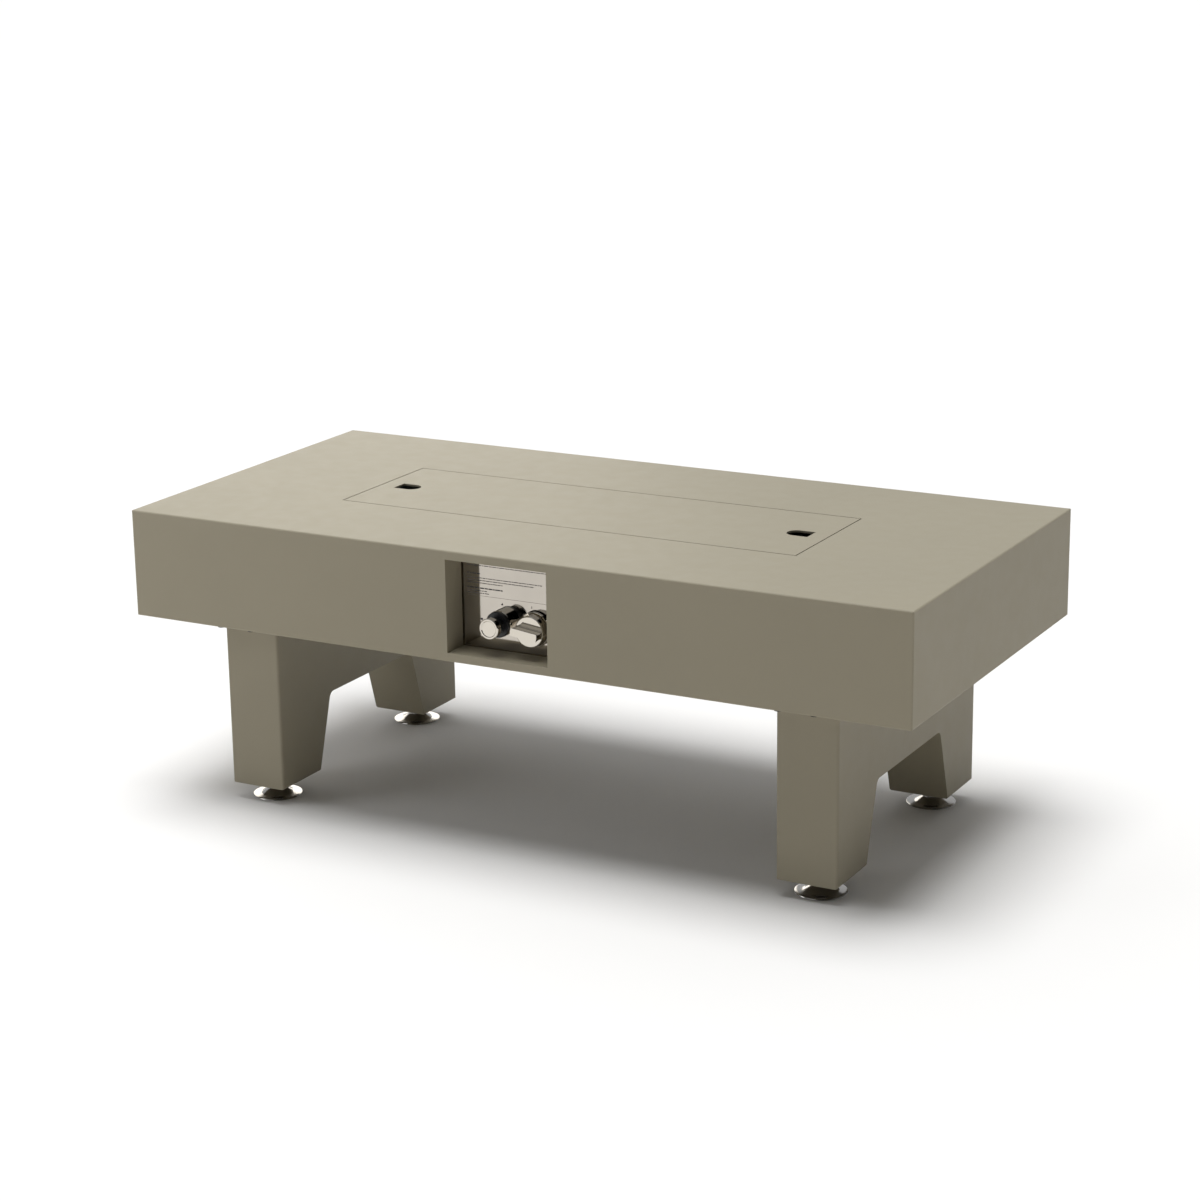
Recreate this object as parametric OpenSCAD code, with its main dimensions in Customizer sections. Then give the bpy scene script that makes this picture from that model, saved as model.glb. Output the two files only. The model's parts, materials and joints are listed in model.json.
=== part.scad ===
// Gas fire pit table: a shallow metal box with a flush lift-off lid over the
// burner, a control recess in the front and two arched leg frames on levelling feet.
// Origin on the floor under the middle of the table. +X runs along the table,
// -Y towards the controls and +Z up.

/* [Table] */
// Length of the table top
table_len = 1270; // [1100:10:1500]
// Depth of the table top, front to back
table_dep = 610; // [580:10:760]
// Height of the table top above the floor
table_ht = 457; // [430:1:560]
// Height of the box under the top
slab_ht = 165; // [160:1:200]
// Thickness of the folded sheet
sheet_t = 3; // [2:0.5:4]
// Radius of the folded outer edges
edge_r = 2.5; // [1:0.5:4]
// Width of the hem turned in under the box
hem_w = 25; // [18:1:32]

/* [Lid] */
// Length of the lid
lid_len = 755; // [700:5:780]
// Width of the lid
lid_wid = 229; // [210:1:240]
// Thickness of the lid sheet
lid_t = 3; // [2:0.5:4]
// Gap round the lid
lid_gap = 1.75; // [1:0.25:3]
// Length of a finger hole
finger_len = 38; // [32:1:44]
// Width of a finger hole
finger_wid = 30; // [24:1:32]
// Lid end to the straight edge of the finger hole
finger_inset = 27; // [25:1:32]
// Height of the stiffeners under the lid
stiff_ht = 12; // [8:1:14]
// Width of a stiffener
stiff_wid = 30; // [20:1:36]
// Thickness of the rubber pads under the lid
pad_t = 3; // [2:0.5:4]
// Radius of a rubber pad
pad_r = 5; // [4:0.5:5.5]

/* [Burner pan] */
// Depth of the pan below its ledge
pan_depth = 60; // [58:1:66]
// Thickness of the pan sheet
pan_t = 1.5; // [1:0.25:2]
// Clearance between the pan and what it drops into
pan_gap = 2; // [1:0.5:3]
// Width of the ledge that carries the pan
ledge_w = 15; // [13:1:18]
// Thickness of the ledge angle
ledge_t = 2.5; // [2:0.5:4]
// Radius of the drain and air holes in the pan floor
drain_r = 5; // [3:0.5:7]

/* [Burner] */
// Length of the burner tube
burner_len = 610; // [500:10:660]
// Outer radius of the burner tube
burner_r = 12.7; // [11:0.1:14]
// Wall of the burner tube
burner_wall = 1.5; // [1:0.25:2]
// Pan floor to the middle of the tube
burner_up = 24; // [22:1:27]
// Radius of a burner port
port_r = 1.2; // [0.8:0.1:1.6]
// Spacing of the ports along the tube
port_step = 20; // [16:1:30]
// Outer radius of the pipe nipple
nipple_r = 8.6; // [8:0.1:9]
// Bore radius of the pipe nipple
nipple_bore_r = 6.2; // [5:0.1:6.5]

/* [Controls] */
// Width of the control recess
recess_wid = 165; // [155:1:190]
// Height of the control recess
recess_ht = 139; // [132:1:141]
// Front face of the table to the control plate
recess_depth = 47.5; // [46:0.5:60]
// Thickness of the recess sheet
recess_t = 2; // [1:0.5:2.5]
// Thickness of the control plate
plate_t = 1.5; // [1:0.25:2]
// Place of the push button across the table
button_x = -16; // [-24:1:-14]
// Recess floor to the middle of the button
button_up = 42.5; // [36:0.5:60]
// Travel of the push button
button_travel = 8; // [4:0.5:9]
// Radius of the button cap
cap_r = 15.4; // [13:0.1:17]
// Thickness of the button cap
cap_t = 9; // [6:0.5:10]
// Outer radius of the chrome ring round the button
bezel_r = 19.5; // [18:0.1:21]
// Height of the chrome ring off the plate
bezel_ht = 13; // [10:0.5:15]
// Thickness of the black flange in front of the chrome ring
flange_t = 5.5; // [4:0.5:7]
// Gap between the recess sleeve and the control plate
plate_gap = 3; // [1:0.5:5]
// Place of the gas knob across the table
knob_x = 38; // [36:1:46]
// Recess floor to the middle of the gas knob
knob_up = 39.5; // [36:0.5:50]
// Radius of the knob skirt at the plate
knob_skirt_r = 26; // [24:0.5:28]
// Radius of the knob front
knob_face_r = 23; // [20:0.5:24]
// Control plate to the knob front
knob_face_ht = 21; // [19:0.5:24]
// Height of the grip bar on the knob front
grip_ht = 17; // [12:0.5:18]
// Thickness of the grip bar at its front
grip_t = 11.5; // [9:0.5:14]
// Turn of the grip bar in the photographed position, degrees
grip_tilt = 7; // [0:1:15]
// Push-in travel of the gas knob
knob_push = 3; // [2:0.5:4]
// Outer radius of the gas hose
hose_r = 6; // [5:0.5:7]
// Bend radius of the gas hose
hose_bend_r = 40; // [32:1:50]

/* [Legs] */
// Table end to the outer side of a leg frame
leg_inset_x = 127; // [90:1:200]
// Table front to the front of a leg frame
leg_inset_y = 50; // [40:1:80]
// Width of a leg frame along the table
leg_wid = 94; // [80:1:110]
// Length of a leg at its foot, front to back
leg_foot_len = 101; // [90:1:120]
// Length of a leg under the crossbar
leg_head_len = 137; // [125:1:150]
// Height of the crossbar below the box
cross_ht = 146; // [110:1:160]
// Wall of the leg frames
leg_t = 3; // [2:0.5:4]
// Radius of the bend between leg and crossbar
leg_fillet_r = 12; // [6:1:20]
// Radius of the leg edges
leg_edge_r = 4; // [2:0.5:5]
// Height of the cross rails inside the box
rail_ht = 40; // [25:1:50]
// Side of a leg frame to the side of a cross rail
rail_margin = 2; // [1:0.5:9]
// Thickness of the cross rails
rail_t = 3; // [2:0.5:4]

/* [Feet] */
// Radius of a foot
foot_r = 38; // [30:1:45]
// Floor to the underside of a leg
foot_ht = 27; // [26:1:35]
// Thickness of the foot at its rim
foot_rim_t = 2; // [1.5:0.5:3]
// Rise of the foot from its rim to its neck
foot_rise = 6.5; // [4:0.5:8]
// Radius of the threaded stud
stud_r = 5; // [4:0.5:6]
// How far the feet screw down
foot_travel = 15; // [5:1:20]

/* [Hidden] */
$fn = 64;

// Overrun of every cut past the face that it opens
cut = 1;
// Radial clearance of a part that turns or slides in a bore
run_gap = 0.05;
// Clearance round a fixed part in its seat
seat_gap = 0.1;
// Half of a whole
half = 1/2;
// Quarter turn, degrees
quarter = 90;
// Steps of an arc in an outline
arc_steps = 9;

// Heights of the box
slab_z = table_ht - slab_ht;
hem_top_z = slab_z + sheet_t;
top_under_z = table_ht - sheet_t;
front_y = -table_dep*half;

// Lid opening and ledge
open_len = lid_len + 2*lid_gap;
open_wid = lid_wid + 2*lid_gap;
lid_under_z = table_ht - lid_t;
flange_top_z = lid_under_z - pad_t;
ledge_z = flange_top_z - pan_t;
stiff_t = 1.5;
stiff_web_share = 0.6;

// Burner pan
flange_len = open_len - 2*pan_gap;
flange_wid = open_wid - 2*pan_gap;
pan_len = open_len - 2*ledge_w - 2*pan_gap;
pan_wid = open_wid - 2*ledge_w - 2*pan_gap;
pan_under_z = ledge_z - pan_depth;
pan_floor_z = pan_under_z + pan_t;
drain_step_share = 1/6;
drain_y_share = 1/3;

// Burner tube, its saddles and ports
burner_z = pan_floor_z + burner_up;
port_rows_deg = 24;
port_end = 20;
boss_r = 12;
saddle_place_share = 0.36;
saddle_x = burner_len*saddle_place_share;
saddle_wid = 20;
saddle_foot = 44;
saddle_t = 2;
saddle_side = 4;

// Recess
lip_ht = (slab_ht - recess_ht)*half;
recess_floor_z = slab_z + lip_ht;
recess_top_z = recess_floor_z + recess_ht;
recess_mid_z = recess_floor_z + recess_ht*half;
plate_y = front_y + recess_depth;
plate_back_y = plate_y + plate_t;
plate_lap = 14;
plate_lip = 3;
plate_spacer_r = 4;
plate_screw_r = 2;
plate_screw_head_r = 3.6;
plate_screw_head_t = 2.2;
plate_screw_x = recess_wid*half + plate_lap*half;
plate_screw_share = 0.4;
plate_screw_z = recess_ht*plate_screw_share;

// Push button
button_z = recess_floor_z + button_up;
collar_r = 16.8;
flange_in = 0.5;
edge_cut = 0.9;
plunger_r = 12;
plunger_neck = 15;
plunger_tail = 9;
plunger_rod_r = 5;
plunger_rod_len = 34;
igniter_r = 11;
igniter_len = 60;
igniter_bore_len = 46;
igniter_nut_r = 17;
igniter_nut_t = 5;
terminal_r = 3;
terminal_len = 8;
spring_wire_r = 0.6;
spring_turns = 6;
coil_steps = 12;
wire_sides = 6;
cap_rim = 3.2;
cap_dish = 1;

// Button planes, counted out from the plate
bezel_y = plate_y - bezel_ht;
collar_y = bezel_y - flange_t;
cap_back_y = collar_y - plunger_neck;
cap_front_y = cap_back_y - cap_t;
plunger_back_y = collar_y + plunger_tail;
collar_floor_y = plunger_back_y + button_travel + seat_gap;
rod_end_y = plunger_back_y + plunger_rod_len;
igniter_end_y = plate_back_y + igniter_len;
igniter_bore_y = plate_back_y + igniter_bore_len;

// Gas valve and knob
knob_z = recess_floor_z + knob_up;
valve_wid = 34;
valve_ht = 38;
valve_len = 46;
valve_round = 5;
valve_neck_r = 7.5;
valve_neck_len = 7;
panel_nut_t = 3;
panel_nut_r = 11;
plug_r = 9;
plug_len = 22;
plug_bore_depth = 16;
plug_gas_r = 4;
plug_ahead = 12;
stem_r = 4;
stem_flat = 2.6;
stem_into_plug = 9;
stem_into_grip = 5;
valve_cap_r = 12;
valve_cap_t = 5;
valve_wire_r = 0.4;
valve_spring_turns = 4;
outlet_r = 7;
outlet_len = 8;
knob_spare = 0.3;
valve_mid_y = plate_back_y + valve_len*half;
valve_end_y = plate_back_y + valve_len;
neck_y = plate_y - valve_neck_len;
plug_front_y = plate_back_y + plug_ahead;
plug_back_y = plug_front_y + plug_len;
stem_back_y = plug_front_y + stem_into_plug;
knob_back_y = plate_y - knob_push - knob_spare;
knob_face_y = plate_y - knob_face_ht;
grip_front_y = knob_face_y - grip_ht;
stem_front_y = knob_face_y - stem_into_grip;
hub_back_y = neck_y - knob_push - knob_spare;
knob_wall = 4;
knob_front_t = 5;
knob_hub_r = 8;
grip_waist = 1.75;
grip_end = 1.5;
knob_edge_r = 1.25;
flare_len = 8;
skirt_band = 2.5;

// Gas inlet under the valve
inlet_r = 7.9;
inlet_len = 14;
inlet_hex_r = 10;
inlet_hex_t = 8;
inlet_bore_r = 4;
valve_under_z = knob_z - valve_ht*half;

// Elbow, mixer and hose, all level with the valve
gas_z = knob_z;
elbow_r = 13;
elbow_half = 20;
mixer_r = 14;
mixer_len = 50;
mixer_bore_r = 9.5;
mixer_waist_share = 0.3;
window_wid = 9;
window_len = 16;
jet_len = 12;
jet_r = 8;
hose_nut_r = 11;
hose_nut_t = 12;
hose_lead = 8;
nipple_nut_r = 15;
nipple_nut_t = 6;
mixer_end_x = elbow_half + mixer_len;
hose_end_x = mixer_end_x + jet_len + hose_nut_t;
hose_turn_x = hose_end_x + hose_lead;
outlet_x = knob_x + valve_wid*half + outlet_len;
hose_start_x = outlet_x + hose_nut_t;

// Flame sensor and spark electrode
pilot_y = -38;
pilot_shelf_up = 18;
pilot_shelf_dep = 16;
pilot_foot_dep = 12;
pilot_t = 1.5;
pilot_margin = 12;
probe_x = knob_x - 14;
probe_r = 3.2;
probe_up = 37;
probe_shoulder = 1.3;
insulator_r = 4.5;
insulator_up = 26;
insulator_drop = 3;
insulator_collar = 1.35;
rod_r = 1;
rod_up = 7;
rod_bend_r = 4;
rod_reach = 12;
lead_r = 2.5;
lead_bend_r = 26;
probe_lead_r = 1.6;
probe_port_up = 10;
lead_hole_r = 6.5;

// Heat shield between the ledge and the valve
shield_gap = 16;
shield_t = 1.5;
shield_len = 260;
shield_flange = 20;
shield_drop = 88;
shield_y = -(open_wid*half + ledge_t + shield_gap + shield_flange);

// Legs
leg_z = foot_ht;
leg_top_z = hem_top_z;
cross_z = slab_z - cross_ht;
leg_x = table_len*half - leg_inset_x - leg_wid*half;
leg_y = table_dep*half - leg_inset_y;
foot_y = leg_y - leg_foot_len*half;
leg_floor_t = 5;
leg_head_t = 6;
leg_toe_r = 2.5;
leg_drop = cross_z - leg_z;
leg_slant = atan((leg_head_len - leg_foot_len)/leg_drop);
leg_bolt_r = 4;
leg_bolt_len = 12;
leg_bolt_head_r = 7.5;
leg_bolt_head_t = 5.3;
washer_r = 8.5;
washer_t = 1.6;
leg_bolt_x_share = 0.3;
leg_bolt_y_share = 0.6;
leg_bolt_x = leg_wid*leg_bolt_x_share;
leg_bolt_y = leg_y*leg_bolt_y_share;

// Cross rails
rail_len = table_dep - 2*sheet_t - 2*seat_gap;
rail_wid = leg_wid - 2*rail_margin;
rail_screw_r = 3;
rail_screw_head_r = 6;
rail_screw_head_t = 3.3;
rail_nut_r = 5.8;
rail_nut_t = 5;
rail_screw_share = 0.3;
rail_screw_x = rail_wid*rail_screw_share;
rail_screw_y = table_dep*half - sheet_t - (hem_w - sheet_t)*half;

// Feet
foot_neck_r = 13;
foot_neck_ht = 8;
foot_curve_share = 1.4;
insert_r = 9;
insert_len = 20;
stud_spare = 9;
stud_top = insert_len + foot_travel + stud_spare;
locknut_r = 9.8;
locknut_t = 6;
foot_neck_z = foot_rim_t + foot_rise + foot_neck_ht;

// Flat round rectangle, centred
module round_rect(w, d, r) {
    square([w - 2*r, d], center = true);
    square([w, d - 2*r], center = true);
    for (sx = [-1, 1], sy = [-1, 1])
        translate([sx*(w*half - r), sy*(d*half - r)]) circle(r);
}

// Outline drawn in Y and Z, run along X about the middle
module along_x(len) {
    translate([-len*half, 0, 0]) rotate([90, 0, 90]) linear_extrude(len) children();
}

// Outline drawn in X and Z, run along Y about the middle
module along_y(len) {
    translate([0, len*half, 0]) rotate([90, 0, 0]) linear_extrude(len) children();
}

// Upright box, centred in plan, from z0 to z1
module plate_box(len, wid, z0, z1) {
    translate([-len*half, -wid*half, z0]) cube([len, wid, z1 - z0]);
}

// Rod along Y from y0 to y1
module rod_y(r, y0, y1) {
    translate([0, y0, 0]) rotate([-90, 0, 0]) cylinder(h = y1 - y0, r = r);
}

// Rod along X from x0 to x1
module rod_x(r, x0, x1) {
    translate([x0, 0, 0]) rotate([0, 90, 0]) cylinder(h = x1 - x0, r = r);
}

// Coil spring along Y between y0 and y1, one wire wound as a helix
module coil_y(coil_r, wire_r, turns, y0, y1) {
    steps = turns*coil_steps;
    rise = y1 - y0 - 2*wire_r;
    points = [
        for (i = [0:steps], k = [0:wire_sides - 1])
            let (a = 360*i/coil_steps, b = 360*k/wire_sides, r = coil_r + wire_r*cos(b))
            [r*cos(a), y0 + wire_r + rise*i/steps + wire_r*sin(b), r*sin(a)]
    ];
    walls = [
        for (i = [0:steps - 1], k = [0:wire_sides - 1])
            let (a = i*wire_sides, b = a + wire_sides, next = (k + 1)%wire_sides)
            [a + k, b + k, b + next, a + next]
    ];
    start = [for (k = [0:wire_sides - 1]) k];
    end = [for (k = [wire_sides - 1:-1:0]) steps*wire_sides + k];
    polyhedron(points, concat([start, end], walls));
}

// Six-sided nut body along Z, r across its corners
module hex(r, h) {
    cylinder(h = h, r = r, $fn = 6);
}

// Turned part about the Y axis: its outline gives [radius, place along Y]
module turned_y(points) {
    rotate([-90, 0, 0]) rotate_extrude() polygon(points);
}

// Both ends of the table
module at_ends() {
    for (sx = [-1, 1]) translate([sx*leg_x, 0, 0]) children();
}

// All four feet
module at_feet() {
    for (sx = [-1, 1], sy = [-1, 1]) translate([sx*leg_x, sy*foot_y, 0]) children();
}

// Folded box with rounded outer edges, open below inside its hem
module table_shell() {
    color([0.60, 0.57, 0.50]) difference() {
        intersection() {
            translate([0, 0, slab_z]) linear_extrude(slab_ht)
                round_rect(table_len, table_dep, edge_r);
            translate([0, 0, slab_z + slab_ht*half]) along_x(table_len)
                round_rect(table_dep, slab_ht, edge_r);
            translate([0, 0, slab_z + slab_ht*half]) along_y(table_dep)
                round_rect(table_len, slab_ht, edge_r);
        }
        plate_box(table_len - 2*sheet_t, table_dep - 2*sheet_t, hem_top_z, top_under_z);
        plate_box(table_len - 2*hem_w, table_dep - 2*hem_w, slab_z - cut, hem_top_z + cut);
        plate_box(open_len, open_wid, top_under_z - cut, table_ht + cut);
        translate([0, front_y + sheet_t*half, 0])
            plate_box(recess_wid, sheet_t + 2*cut, recess_floor_z, recess_top_z);
        rail_screw_places() cylinder(h = sheet_t + 2*cut, r = rail_screw_r + seat_gap);
    }
}

// Places of the screws that hold the rails to the hem, just under the hem
module rail_screw_places() {
    at_ends() for (sx = [-1, 1], sy = [-1, 1])
        translate([sx*rail_screw_x, sy*rail_screw_y, slab_z - cut]) children();
}

// Angle frame round the lid opening
module lid_ledge() {
    color([0.55, 0.53, 0.47]) difference() {
        plate_box(open_len + 2*ledge_t, open_wid + 2*ledge_t, ledge_z - ledge_t, top_under_z);
        plate_box(open_len, open_wid, ledge_z, top_under_z + cut);
        plate_box(open_len - 2*ledge_w, open_wid - 2*ledge_w, ledge_z - ledge_t - cut, ledge_z + cut);
    }
}

// Channel across the open underside
module cross_rail(side) {
    color([0.62, 0.63, 0.64]) translate([side*leg_x, 0, hem_top_z]) difference() {
        plate_box(rail_wid, rail_len, 0, rail_ht);
        plate_box(rail_wid - 2*rail_t, rail_len + 2*cut, rail_t, rail_ht + cut);
        for (sx = [-1, 1], sy = [-1, 1]) {
            translate([sx*rail_screw_x, sy*rail_screw_y, -cut])
                cylinder(h = rail_t + 2*cut, r = rail_screw_r + seat_gap);
            translate([sx*leg_bolt_x, sy*leg_bolt_y, -cut])
                cylinder(h = rail_t + 2*cut, r = leg_bolt_r + seat_gap);
        }
    }
}

module left_cross_rail() { cross_rail(-1); }
module right_cross_rail() { cross_rail(1); }

// Low-headed screws up through the hem and the rail
module rail_screws() {
    color([0.75, 0.75, 0.76]) rail_screw_places() translate([0, 0, cut]) {
        translate([0, 0, -rail_screw_head_t]) cylinder(h = rail_screw_head_t, r = rail_screw_head_r);
        cylinder(h = sheet_t + rail_t + rail_nut_t + cut, r = rail_screw_r);
    }
}

module rail_nuts() {
    color([0.75, 0.75, 0.76]) rail_screw_places() translate([0, 0, cut + sheet_t + rail_t]) difference() {
        hex(rail_nut_r, rail_nut_t);
        translate([0, 0, -cut]) cylinder(h = rail_nut_t + 2*cut, r = rail_screw_r + run_gap);
    }
}

// Points of an arc about c, from angle a0 to a1
function arc(c, r, a0, a1) =
    [for (i = [0:arc_steps]) let (a = a0 + (a1 - a0)*i/arc_steps) c + r*[cos(a), sin(a)]];

// Closed outline from the points of its rear half, mirrored to the front
function both_halves(pts) =
    concat(pts, [for (i = [len(pts) - 1:-1:0]) [-pts[i][0], pts[i][1]]]);

// Arch in Y and Z, with rounded bends under the crossbar and rounded inner toes
module arch_outline() {
    turn = (quarter + leg_slant)*half;
    bend_y = leg_y - leg_head_len - leg_fillet_r/tan(turn);
    toe_y = leg_y - leg_foot_len + leg_toe_r/tan(turn);
    polygon(both_halves(concat(
        [[leg_y, leg_top_z], [leg_y, leg_z]],
        arc([toe_y, leg_z + leg_toe_r], leg_toe_r, 3*quarter, 2*quarter + leg_slant),
        arc([bend_y, cross_z - leg_fillet_r], leg_fillet_r, leg_slant, quarter)
    )));
}

// Hollow inside the arch, its outline moved in by the wall
module arch_hollow() {
    lean = leg_t/cos(leg_slant);
    sole_z = leg_z + leg_floor_t;
    polygon(both_halves([
        [leg_y - leg_t, leg_top_z - leg_head_t], [leg_y - leg_t, sole_z],
        [leg_y - leg_foot_len + lean - leg_floor_t*tan(leg_slant), sole_z],
        [leg_y - leg_head_len + lean - leg_t*tan(leg_slant), cross_z + leg_t]
    ]));
}

// Arched leg frame, welded from sheet, with a thick head and sole and soft
// upright edges and lower corners
module leg_frame(side) {
    front_ht = leg_top_z - leg_z + leg_edge_r;
    color([0.60, 0.57, 0.50]) translate([side*leg_x, 0, 0]) difference() {
        intersection() {
            along_x(leg_wid) arch_outline();
            translate([0, 0, leg_z]) linear_extrude(leg_top_z - leg_z)
                round_rect(leg_wid, 2*leg_y, leg_edge_r);
            translate([0, 0, leg_z + front_ht*half]) along_y(2*leg_y)
                round_rect(leg_wid, front_ht, leg_edge_r);
        }
        along_x(leg_wid - 2*leg_t) arch_hollow();
        for (sy = [-1, 1]) {
            translate([0, sy*foot_y, leg_z - cut])
                cylinder(h = leg_floor_t + 2*cut, r = insert_r + seat_gap);
            for (sx = [-1, 1])
                translate([sx*leg_bolt_x, sy*leg_bolt_y, leg_top_z - leg_head_t - cut])
                    cylinder(h = leg_head_t + 2*cut, r = leg_bolt_r + run_gap);
        }
    }
}

module left_leg_frame() { leg_frame(-1); }
module right_leg_frame() { leg_frame(1); }

// Hexagon bolts with washers, down through the rail into the leg head
module leg_bolts() {
    color([0.75, 0.75, 0.76]) at_ends() for (sx = [-1, 1], sy = [-1, 1])
        translate([sx*leg_bolt_x, sy*leg_bolt_y, hem_top_z + rail_t]) {
            cylinder(h = washer_t, r = washer_r);
            translate([0, 0, washer_t]) hex(leg_bolt_head_r, leg_bolt_head_t);
            translate([0, 0, -leg_bolt_len]) cylinder(h = leg_bolt_len, r = leg_bolt_r);
        }
}

// Threaded bushes pressed into the leg soles
module foot_inserts() {
    color([0.70, 0.70, 0.70]) at_feet() translate([0, 0, leg_z]) difference() {
        cylinder(h = insert_len, r = insert_r);
        translate([0, 0, -cut]) cylinder(h = insert_len + 2*cut, r = stud_r + run_gap);
    }
}

module foot_locknuts() {
    color([0.75, 0.75, 0.76]) at_feet() translate([0, 0, leg_z - locknut_t]) difference() {
        hex(locknut_r, locknut_t);
        translate([0, 0, -cut]) cylinder(h = locknut_t + 2*cut, r = stud_r + run_gap);
    }
}

// Flared chrome foot: thin rim, shallow cone and a short neck round the stud
module foot_base(sx, sy) {
    color([0.85, 0.85, 0.86]) translate([sx*leg_x, sy*foot_y, 0]) rotate_extrude() difference() {
        polygon([
            [0, 0], [foot_r - foot_rim_t*half, 0], [foot_r, foot_rim_t*half],
            [foot_r - foot_rim_t*half, foot_rim_t],
            [foot_neck_r + foot_rise*half, foot_rim_t + foot_rise],
            [foot_neck_r, foot_rim_t + foot_rise*foot_curve_share],
            [foot_neck_r, foot_neck_z], [0, foot_neck_z]
        ]);
        translate([0, foot_rim_t + foot_rise*half]) square([stud_r, foot_neck_z]);
    }
}

// Threaded stud, seated in the foot
module foot_stud(sx, sy) {
    color([0.72, 0.72, 0.73]) translate([sx*leg_x, sy*foot_y, foot_rim_t + foot_rise*half])
        cylinder(h = foot_ht + stud_top - foot_rim_t - foot_rise*half, r = stud_r);
}

module front_left_foot() { foot_base(-1, -1); }
module front_left_stud() { foot_stud(-1, -1); }
module front_right_foot() { foot_base(1, -1); }
module front_right_stud() { foot_stud(1, -1); }
module rear_left_foot() { foot_base(-1, 1); }
module rear_left_stud() { foot_stud(-1, 1); }
module rear_right_foot() { foot_base(1, 1); }
module rear_right_stud() { foot_stud(1, 1); }

// Tray that hangs on the ledge by its flange
module burner_pan() {
    color([0.72, 0.72, 0.71]) difference() {
        union() {
            plate_box(flange_len, flange_wid, ledge_z, flange_top_z);
            plate_box(pan_len, pan_wid, pan_under_z, flange_top_z);
        }
        plate_box(pan_len - 2*pan_t, pan_wid - 2*pan_t, pan_floor_z, flange_top_z + cut);
        translate([0, 0, pan_under_z - cut]) {
            cylinder(h = pan_t + 2*cut, r = nipple_r + seat_gap);
            for (x = [button_x, probe_x]) translate([x, pilot_y, 0])
                cylinder(h = pan_t + 2*cut, r = lead_hole_r);
            for (i = [-2, -1, 1, 2], sy = [-1, 1])
                translate([i*pan_len*drain_step_share, sy*pan_wid*drain_y_share, 0])
                    cylinder(h = pan_t + 2*cut, r = drain_r);
        }
    }
}

// Tube with closed ends, two rows of ports and a boss for the nipple
module burner_tube() {
    ports = floor((burner_len*half - port_end)/port_step);
    color([0.66, 0.66, 0.65]) difference() {
        union() {
            translate([0, 0, burner_z]) rod_x(burner_r, -burner_len*half, burner_len*half);
            translate([0, 0, pan_floor_z + saddle_side]) cylinder(h = burner_up - saddle_side, r = boss_r);
        }
        translate([0, 0, burner_z])
            rod_x(burner_r - burner_wall, -burner_len*half + burner_wall, burner_len*half - burner_wall);
        translate([0, 0, pan_under_z]) cylinder(h = burner_up, r = nipple_r + seat_gap);
        for (i = [-ports:ports], side = [-1, 1])
            translate([i*port_step, 0, burner_z]) rotate([side*port_rows_deg, 0, 0])
                cylinder(h = burner_r + cut, r = port_r, $fn = 16);
    }
}

// Two saddles that hold the tube off the pan floor
module burner_saddles() {
    color([0.60, 0.60, 0.60]) translate([0, 0, pan_floor_z]) for (side = [-1, 1])
        translate([side*saddle_x, 0, 0]) along_x(saddle_wid) difference() {
            union() {
                translate([-saddle_foot*half, 0]) square([saddle_foot, saddle_t]);
                translate([-burner_r*half - saddle_t, 0])
                    square([burner_r + 2*saddle_t, burner_up - burner_r*half]);
            }
            translate([0, burner_up]) circle(burner_r + seat_gap);
            translate([-burner_r*half, saddle_t]) square([burner_r, burner_up - burner_r - 2*saddle_t]);
        }
}

// Pipe nipple from the elbow up into the burner boss
module burner_nipple() {
    low_z = gas_z + elbow_r + seat_gap;
    high_z = pan_under_z + burner_up;
    color([0.80, 0.68, 0.38]) translate([0, 0, low_z]) difference() {
        cylinder(h = high_z - low_z - seat_gap, r = nipple_r);
        translate([0, 0, -cut]) cylinder(h = high_z - low_z + 2*cut, r = nipple_bore_r);
    }
}

module nipple_nut() {
    color([0.75, 0.75, 0.76]) translate([0, 0, pan_under_z - nipple_nut_t]) difference() {
        hex(nipple_nut_r, nipple_nut_t);
        translate([0, 0, -cut]) cylinder(h = nipple_nut_t + 2*cut, r = nipple_r + seat_gap);
    }
}

// Cast elbow from the level mixer up to the nipple
module gas_elbow() {
    color([0.45, 0.45, 0.46]) translate([0, 0, gas_z]) difference() {
        union() {
            sphere(r = elbow_r);
            cylinder(h = elbow_r, r = elbow_r);
            rod_x(elbow_r, 0, elbow_half);
        }
        cylinder(h = elbow_r + cut, r = nipple_bore_r);
        rod_x(nipple_bore_r, 0, elbow_half + cut);
    }
}

// Venturi with four air windows and a stepped waist
module air_mixer() {
    waist = mixer_len*mixer_waist_share;
    color([0.50, 0.50, 0.51]) translate([elbow_half, 0, gas_z]) difference() {
        rotate([0, 90, 0]) rotate_extrude() polygon([
            [nipple_bore_r, 0], [elbow_r, 0], [elbow_r, waist*half], [mixer_bore_r + 2*burner_wall, waist],
            [mixer_r, waist], [mixer_r, mixer_len], [jet_r - burner_wall, mixer_len],
            [jet_r - burner_wall, mixer_len - burner_wall], [mixer_bore_r, mixer_len - 2*burner_wall],
            [mixer_bore_r, waist], [nipple_bore_r, waist*half]
        ]);
        for (turn = [0, 90]) rotate([turn, 0, 0])
            translate([waist + (mixer_len - waist - window_len)*half, -window_wid*half, -mixer_r - cut])
                cube([window_len, window_wid, 2*mixer_r + 2*cut]);
    }
}

// Brass jet, screwed into the end of the mixer
module gas_jet() {
    throat_r = port_r;
    color([0.80, 0.68, 0.38]) translate([mixer_end_x, 0, gas_z]) difference() {
        union() {
            rod_x(jet_r, 0, jet_len);
            rod_x(jet_r - burner_wall - seat_gap, -3*burner_wall, 0);
        }
        rod_x(throat_r, -3*burner_wall - cut, jet_len + cut);
    }
}

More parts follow.
